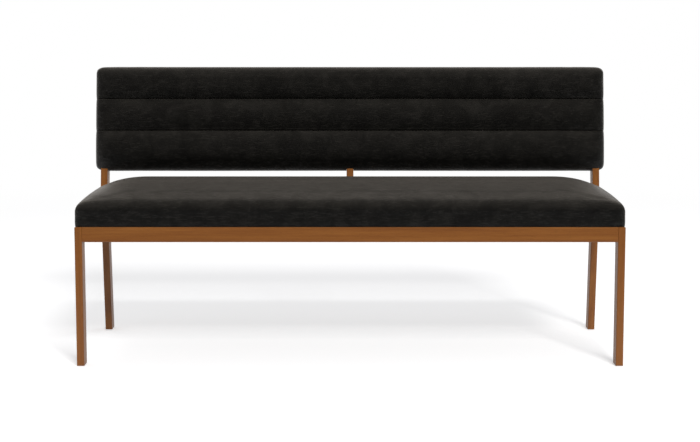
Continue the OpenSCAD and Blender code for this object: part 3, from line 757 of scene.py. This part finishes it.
# %% Seat form
SEAT_CROWN = 40 * MM
SEAT_ROLL = 22 * MM
SEAT_LAND = 12 * MM
SEAT_HEM = 0.6 * MM
CROWN_RUN = (160 * MM, 180 * MM)
SEAT_TUCK = (0.8 * MM, 2 * MM)
SEAT_DRAW = 1.2 * MM
SEAT_PLUMP = (2.4 * MM, 1.6 * MM)
PLUMP_START = SEAT_ROLL / 3
PLUMP_END = 1.3 * SEAT_ROLL
CORNER_SAG = 3 * MM
SAG_RUN = 55 * MM
HEM_CREASE = 0.7
FOLD_DEPTH = 1.6 * MM
FOLD_WIDTH = 7 * MM
SHARP = math.radians(60)


def crown_rise(distance, run):
    """Share of a crown's height at a distance from its edge."""
    return 1 - (1 - min(max(distance / run, 0), 1)) ** 2


def fade(value, start, end):
    """0 at start, 1 at end, soft in between. The end may be the smaller value."""
    share = min(max((value - start) / (end - start), 0), 1)
    return share * share * (3 - 2 * share)


def select_sharp(piece):
    """Opens a piece's mesh and selects its sharp edges."""
    edit(piece)
    bpy.ops.mesh.select_mode(type="EDGE")
    bpy.ops.mesh.select_all(action="DESELECT")
    bpy.ops.mesh.edges_select_sharp(sharpness=SHARP)


seat_edge = Vector((seat_high.x, seat_high.y, seat_high.z - SEAT_CROWN))
seat = block("seat_cushion", seat_low, seat_edge, [])
seat_centre, seat_half = (seat_low + seat_edge) / 2, (seat_edge - seat_low) / 2
seat_core = seat_half - Vector((1, 1, 0)) * (SEAT_ROLL + SEAT_LAND)
levels = round_over(seat, SEAT_ROLL, SEAT_HEM, SEAT_LAND)
for vertex, (inset, drop) in zip(seat.data.vertices, levels):
    place = vertex.co
    off = place - seat_centre
    above_board = fade(place.z, board_high.z, board_high.z + SEAT_ROLL)
    on_side = fade(drop, 0, SEAT_ROLL) * above_board
    beyond = [abs(off[i]) - seat_core[i] for i in (0, 1)]
    fold = 0
    if min(beyond) > 0:
        fold = max(1 - abs(beyond[0] - beyond[1]) / FOLD_WIDTH, 0) * FOLD_DEPTH * on_side
    for i in (0, 1):
        draw = SEAT_DRAW * (1 - (off[1 - i] / seat_half[1 - i]) ** 2) * on_side
        move = (draw if beyond[i] > 0 else 0) + fold
        sink = SEAT_TUCK[i] * max(drop - SEAT_ROLL, 0) / (seat_edge.z - seat_low.z - SEAT_ROLL)
        sink -= SEAT_PLUMP[i] * fade(drop, PLUMP_START, PLUMP_END)
        place[i] -= sink * off[i] / seat_half[i] + math.copysign(move, off[i])
    edges = [seat_half[i] - abs(off[i]) for i in (0, 1)]
    if drop <= SEAT_ROLL:
        rise, rise_across = (crown_rise(edges[i], CROWN_RUN[i]) for i in (0, 1))
        place.z += SEAT_CROWN * rise * rise_across
    sag = CORNER_SAG * (1 - crown_rise(edges[0], SAG_RUN)) * (1 - crown_rise(edges[1], SAG_RUN))
    place.z -= sag * (place.z - seat_low.z) / (seat_edge.z - seat_low.z)
select_sharp(seat)
bpy.ops.transform.edge_crease(value=HEM_CREASE)
bpy.ops.object.mode_set(mode="OBJECT")
print("seat block:", len(seat.data.vertices), "points")

# %% Seat padding
SEAT_SLACK = 0.8 * MM
SEAT_TRAVEL = 1.8 * MM
STAPLED_BAND = 14 * MM


def seat_held(point):
    """The leather is tight round the board, and free above it."""
    return min(max(1 - (point.z - board_high.z) / STAPLED_BAND, 0), 1)


swell(seat, seat_held, SEAT_SLACK, SEAT_TRAVEL)
smooth_once(seat)

# %% [markdown]
# ## Room for the board
#
# The leather wraps the board and ends in a margin under it. So the board's place is
# cut out of the cushion, and a smaller opening below it leaves the margin. The
# cutters are cubes with round corners, taken away with a Boolean.

# %% Cutting helpers
SMOOTH_BELOW = math.radians(50)


def cutter(low, high, corner=0.0):
    """Cube whose upright edges are round, if a corner is given."""
    tool = cube(low, high)
    if corner:
        edit(tool)
        pick_edges(tool, 2, low.z, high.z)
        bpy.ops.mesh.bevel(offset=corner, segments=6)
        bpy.ops.object.mode_set(mode="OBJECT")
    return tool


def cut(piece, tool):
    """Takes a tool's shape out of a piece and throws the tool away."""
    modifier = piece.modifiers.new("cut", "BOOLEAN")
    modifier.operation = "DIFFERENCE"
    modifier.solver = "EXACT"
    modifier.object = tool
    pick(piece)
    bpy.ops.object.modifier_apply(modifier="cut")
    bpy.data.objects.remove(tool, do_unlink=True)


def hand_over(piece, material, slot, *stands_for):
    """Finishes a piece: its shading, material, body and the solids it stands for. The slot is not
    used.
    """
    pick(piece)
    bpy.ops.object.shade_smooth_by_angle(angle=SMOOTH_BELOW)
    piece.data.materials.clear()
    piece.data.materials.append(material)
    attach(piece, "root")
    if stands_for:
        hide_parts(*stands_for)
    print(piece.name, "has", len(piece.data.polygons), "faces")


# %% Seat recess
SKIN_GAP = 0.3 * MM
MARGIN_INSET = 27.5 * MM
BOARD_CORNER = 15 * MM
BEYOND = 10 * MM
gap = Vector((SKIN_GAP, SKIN_GAP, 0))
cut(seat, cutter(board_low - gap, board_high + gap, BOARD_CORNER))
margin = Vector((MARGIN_INSET, MARGIN_INSET, 0))
opening_low = Vector((seat_low.x, seat_low.y, seat_low.z - BEYOND)) + margin
opening_high = Vector((seat_high.x, seat_high.y, board_low.z + SKIN_GAP)) - margin
cut(seat, cutter(opening_low, opening_high, BOARD_CORNER))
hand_over(seat, black_leather, "black_leather", "seat_foam", "seat_cover")

# %% [markdown]
# ## The back: three channels
#
# The back is a padded panel. Two seams run along it and round its ends; they pull
# the leather in and part the padding into three channels. The block lies on its back
# while it is shaped, face up, like on a workbench, so that its height runs along Y.
# Each channel is a low pillow: from its middle it falls to the seams, ever steeper.
# Towards its lower edge the whole panel tapers, which is why it is darkest there.

# %% Back form
BACK_FRONT_ROLL = 27 * MM
BACK_REAR_ROLL = 20 * MM
BACK_LAND = 11 * MM
UPPER_CHANNEL = 100 * MM
MIDDLE_CHANNEL = 97.7 * MM
SEAM_DEPTH = 6 * MM
SEAM_END_DEPTH = 1.6 * MM
SEAM_RUN = 48 * MM
SEAM_CURVE = 2.4
TAPER = 15 * MM
TAPER_RUN = 65 * MM
CHIN = 3.5 * MM
BACK_PLUMP = Vector((-0.3, 0.4, 0)) * MM
BACK_DROOP = Vector((0, 1.3, 0)) * MM


def lie_down(low, high):
    """Corners of an upright box after a quarter turn onto its back."""
    return Vector((low.x, low.z, -high.y)), Vector((high.x, high.z, -low.y))


slab_low, slab_high = lie_down(back_low, back_high)
slab_low = slab_low - BACK_PLUMP - BACK_DROOP
slab_high = slab_high + BACK_PLUMP
upper_seam = slab_high.y - UPPER_CHANNEL
lower_seam = upper_seam - MIDDLE_CHANNEL
seams = (lower_seam, upper_seam)


def seam_distance(point):
    """Distance from the nearer seam."""
    return min(abs(point.y - place) for place in seams)


back = block("back_cushion", slab_low, slab_high, seams)
levels = round_over(back, BACK_FRONT_ROLL, BACK_REAR_ROLL, BACK_LAND)
for vertex, (inset, drop) in zip(back.data.vertices, levels):
    pull = max(1 - seam_distance(vertex.co) / SEAM_RUN, 0) ** SEAM_CURVE
    in_front = max(1 - drop / BACK_FRONT_ROLL, 0)
    end_gap = slab_high.x - abs(vertex.co.x)
    vertex.co.z -= SEAM_DEPTH * pull * in_front * fade(end_gap, 0, 2 * BACK_FRONT_ROLL)
    low_share = max(1 - (vertex.co.y - slab_low.y) / TAPER_RUN, 0)
    vertex.co.z -= TAPER * low_share ** 2 * fade(drop, 2 * BACK_FRONT_ROLL, BACK_FRONT_ROLL / 2)
    share = min(drop / BACK_FRONT_ROLL, 1)
    chin = 4 * CHIN * share * (1 - share) * fade(vertex.co.y - slab_low.y, BACK_FRONT_ROLL, 0)
    vertex.co += Vector((0, -chin, chin))
    rear_share = (slab_high.z - slab_low.z - drop) / BACK_REAR_ROLL
    at_side = max(1 - inset / BACK_FRONT_ROLL, 0) * min(rear_share, 1)
    vertex.co.x -= math.copysign(SEAM_END_DEPTH, vertex.co.x) * pull ** 3 * at_side
print("back block:", len(back.data.vertices), "points")

# %% Back padding
BACK_SLACK = 0.5 * MM
BACK_TRAVEL = 1.8 * MM


def back_held(point):
    """Held behind, where it meets the board, and along the seams."""
    behind = 1 - (point.z - slab_low.z) / BACK_REAR_ROLL
    sewn = 1 - seam_distance(point) / CELL
    return min(max(behind, sewn, 0), 1)


swell(back, back_held, BACK_SLACK, BACK_TRAVEL)
smooth_once(back)

# %% [markdown]
# ## Sewing the channels
#
# A sewn channel ends in a crease: the leather dives in on both sides of the thread
# and almost closes over it. The crease is far narrower than a cell, so the strip
# around each seam is first cut by a few planes, and then its points sink into a narrow
# trough with steep sides. Along the thread the leather also gathers into tiny puckers.

# %% Crease helper
CREASE_CUTS = [side * cut * MM for side in (-1, 1) for cut in (4, 2.6, 2, 1.5, 1.1, 0.6)]
CREASE_DEPTH = 6.4 * MM
CREASE_END_DEPTH = 0.8 * MM
CREASE_HALF = 1.6 * MM
PUCKER = 0.3 * MM
PUCKER_STEP = 11 * MM
PUCKER_REACH = 9 * MM
LEAST_FACING = 0.2
TURNED_AWAY = -0.1


def sew(piece, place):
    """Cuts and sinks a crease along a seam, on the front and the ends of the lying back."""
    edit(piece)
    for offset in CREASE_CUTS:
        bpy.ops.mesh.select_mode(type="FACE")
        bpy.ops.mesh.select_all(action="DESELECT")
        mesh = bmesh.from_edit_mesh(piece.data)
        for face in mesh.faces:
            face.select_set(abs(face.calc_center_median().y - place) < CELL)
        bmesh.update_edit_mesh(piece.data)
        bpy.ops.mesh.bisect(plane_co=(0, place + offset, 0), plane_no=(0, 1, 0))
    bpy.ops.object.mode_set(mode="OBJECT")
    normals = [v.normal.copy() for v in piece.data.vertices]
    for vertex, normal in zip(piece.data.vertices, normals):
        distance = abs(vertex.co.y - place)
        inward = -Vector((normal.x, 0, normal.z))
        facing = inward.length >= LEAST_FACING and normal.z >= TURNED_AWAY
        if distance > 2 * PUCKER_REACH or not facing:
            continue
        inward.normalize()
        front = max(normal.z, 0) ** 3
        depth = CREASE_END_DEPTH + (CREASE_DEPTH - CREASE_END_DEPTH) * front
        crease = depth * math.exp(-(distance / CREASE_HALF) ** 4)
        wave = noise.noise(Vector((vertex.co.x / PUCKER_STEP, place / PUCKER_STEP, 0)))
        vertex.co += inward * (crease + PUCKER * wave * math.exp(-distance / PUCKER_REACH))


for place in seams:
    sew(back, place)
print("seams at", [round(place, 4) for place in seams])

# %% [markdown]
# ## Stitches
#
# In the bottom of each crease lies the thread, a stitch every four and a half
# millimetres. One stitch is a short eight-sided rod with bevelled ends. It is copied
# along the seam, and each copy finds the leather by looking straight down on it.

# %% Stitches
STITCH_PITCH = 4.5 * MM
STITCH_LENGTH = 3.4 * MM
STITCH_RADIUS = 0.4 * MM
STITCH_END_GAP = 40 * MM

bpy.ops.object.select_all(action="DESELECT")
bpy.ops.mesh.primitive_cylinder_add(vertices=8, radius=STITCH_RADIUS, depth=STITCH_LENGTH,
                                    rotation=(0, math.pi / 2, 0))
stitch = bpy.context.object
bpy.ops.object.transform_apply(location=True, rotation=True, scale=True)
edit(stitch)
bpy.ops.mesh.edges_select_sharp(sharpness=SHARP)
bpy.ops.mesh.bevel(offset=STITCH_RADIUS / 2, segments=1)
bpy.ops.object.mode_set(mode="OBJECT")


def repeat(model, places, name):
    """Copies a model, with a mesh of its own, to each (point, turn) and joins all."""
    copies = []
    for point, turn in places:
        copy = model.copy()
        copy.data = model.data.copy()
        copy.location = point
        copy.rotation_euler = turn
        scene.collection.objects.link(copy)
        copies.append(copy)
    bpy.data.objects.remove(model, do_unlink=True)
    bpy.ops.object.select_all(action="DESELECT")
    for copy in copies:
        copy.select_set(True)
    bpy.context.view_layer.objects.active = copies[0]
    bpy.ops.object.join()
    bpy.ops.object.transform_apply(location=True, rotation=True, scale=True)
    joined = bpy.context.object
    joined.name = name
    print(name, "repeated", len(places), "times")
    return joined


def spread(count, pitch):
    """Evenly spaced places on both sides of zero."""
    return [(number - (count - 1) / 2) * pitch for number in range(count)]


stitch_places = []
count = int(2 * (slab_high.x - STITCH_END_GAP) / STITCH_PITCH)
for place in seams:
    for x in spread(count, STITCH_PITCH):
        bottom = back.ray_cast((x, place, slab_high.z + BEYOND), (0, 0, -1))[1]
        stitch_places.append((bottom + Vector((0, 0, STITCH_RADIUS / 2)), (0, 0, 0)))
thread = repeat(stitch, stitch_places, "back_thread")

# %% [markdown]
# ## Standing the back up
#
# The lying back is turned upright, gets the hollow for its frame and the slots
# through which the posts enter from below, and is then leaned back with the posts.

# %% Turning helper


def turn_up(piece, angle):
    """Turns a piece about the X axis of the whole bench and settles it there."""
    pick(piece)
    piece.rotation_euler = (angle, 0, 0)
    bpy.ops.object.transform_apply(location=True, rotation=True, scale=True)


# %% Back in place
BACK_MARGIN_INSET = 34 * MM
turn_up(back, math.pi / 2)
panel_low, panel_high = upright_box("back_panel")
frame_rear = upright_box("back_board")[1].y
gap = Vector((SKIN_GAP, SKIN_GAP, SKIN_GAP))
cut(back, cutter(panel_low - gap, Vector((panel_high.x, frame_rear, panel_high.z)) + gap))
margin = Vector((BACK_MARGIN_INSET, 0, BACK_MARGIN_INSET))
rear_low = Vector((back_low.x, frame_rear, back_low.z)) + margin
rear_high = Vector((back_high.x, back_high.y + BEYOND, back_high.z)) - margin
cut(back, cutter(rear_low, rear_high))

post_low, post_high = upright_box("back_lower_rail_right")
leg_low, leg_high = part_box("front_leg_right")
centre_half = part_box("centre_post")[1].x
for a, b in ((-leg_high.x, -leg_low.x), (-centre_half, centre_half), (leg_low.x, leg_high.x)):
    slot_low = Vector((a, post_low.y, back_low.z - BEYOND)) - gap
    slot_high = Vector((b, post_high.y, panel_low.z + BEYOND)) + gap
    cut(back, cutter(slot_low, slot_high))
turn_up(back, -RAKE)
hand_over(back, black_leather, "black_leather", "back_foam", "back_cover")
turn_up(thread, math.pi / 2 - RAKE)
hand_over(thread, thread_finish, "black_leather")

# %% [markdown]
# ## Flat leather behind, dust cloth below
#
# The rear of the back is closed by one flat piece of leather over the hardboard, and
# the underside of the seat by black cloth. Both are cut sheets with a turned edge:
# the rim is doubled, so a band a centimetre wide stands a little proud. A sheet is a
# thin block of cells whose sharp edges are bevelled, and the band is raised.

# %% Turned sheet helper
HEM_WIDTH = 11 * MM
HEM_STEP = 4 * MM
RIPPLE = 4 * HEM_WIDTH


def turned_sheet(name, low, high, side, rise, rounding, wave):
    """Sheet, thin along Z, whose rim is raised on one side (1 up, -1 down)."""
    piece = block(name, low, high, [])
    select_sharp(piece)
    bpy.ops.mesh.bevel(offset=rounding, segments=2)
    bpy.ops.object.mode_set(mode="OBJECT")
    centre, half = (low + high) / 2, (high - low) / 2
    for vertex in piece.data.vertices:
        place = vertex.co
        edge = min(half[i] - abs(place[i] - centre[i]) for i in (0, 1))
        outer = (place.z - centre.z) * side > 0
        hem = rise * (1 - fade(edge, HEM_WIDTH - HEM_STEP, HEM_WIDTH)) if outer else 0
        ripple = wave * noise.noise(Vector((place.x, place.y, 0)) / RIPPLE)
        place.z += side * (hem + max(ripple, 0))
    return piece


# %% Outside back
REAR_RISE = 0.8 * MM
lying_low, lying_high = lie_down(*upright_box("back_rear_leather"))
outside = turned_sheet("outside_back", lying_low, lying_high, -1, REAR_RISE,
                       rounding=0.6 * MM, wave=0.5 * MM)
turn_up(outside, math.pi / 2 - RAKE)
hand_over(outside, black_leather, "black_leather", "back_rear_leather")

# %% Dust cloth
CLOTH_RISE = 0.3 * MM
cloth_low, cloth_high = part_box("dust_cloth")
dust = turned_sheet("seat_dust_cloth", cloth_low, cloth_high, -1, CLOTH_RISE,
                    rounding=0.2 * MM, wave=0.15 * MM)
hand_over(dust, cloth_finish, "black_cloth", "dust_cloth")

# %% [markdown]
# ## Staples
#
# The dust cloth is stapled to the board every four centimetres, with the crowns of
# the staples along the edge. Only the crown shows: a flat wire ten millimetres long
# with rounded edges. Where a bearer crosses, there is no room for one.

# %% Staples
STAPLE = Vector((10, 1.1, 0.5)) * MM
STAPLE_PITCH = 40 * MM
STAPLE_INSET = 6 * MM

staple = cube(-STAPLE / 2, STAPLE / 2)
edit(staple)
bpy.ops.mesh.select_all(action="SELECT")
bpy.ops.mesh.bevel(offset=STAPLE.z / 3, segments=1)
bpy.ops.object.mode_set(mode="OBJECT")

bearer_low, bearer_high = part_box("bearer_right")
staple_z = cloth_low.z - CLOTH_RISE
staple_places = []
for y in (cloth_low.y + STAPLE_INSET, cloth_high.y - STAPLE_INSET):
    for x in spread(int((cloth_high.x - cloth_low.x) / STAPLE_PITCH), STAPLE_PITCH):
        if not bearer_low.x - STAPLE.x < abs(x) < bearer_high.x + STAPLE.x:
            staple_places.append((Vector((x, y, staple_z)), (0, 0, 0)))
for x in (cloth_low.x + STAPLE_INSET, cloth_high.x - STAPLE_INSET):
    for y in spread(int((cloth_high.y - cloth_low.y) / STAPLE_PITCH) - 1, STAPLE_PITCH):
        place = Vector((x, (cloth_low.y + cloth_high.y) / 2 + y, staple_z))
        staple_places.append((place, (0, 0, math.pi / 2)))
staples = repeat(staple, staple_places, "dust_cloth_staples")
hand_over(staples, steel, "steel")
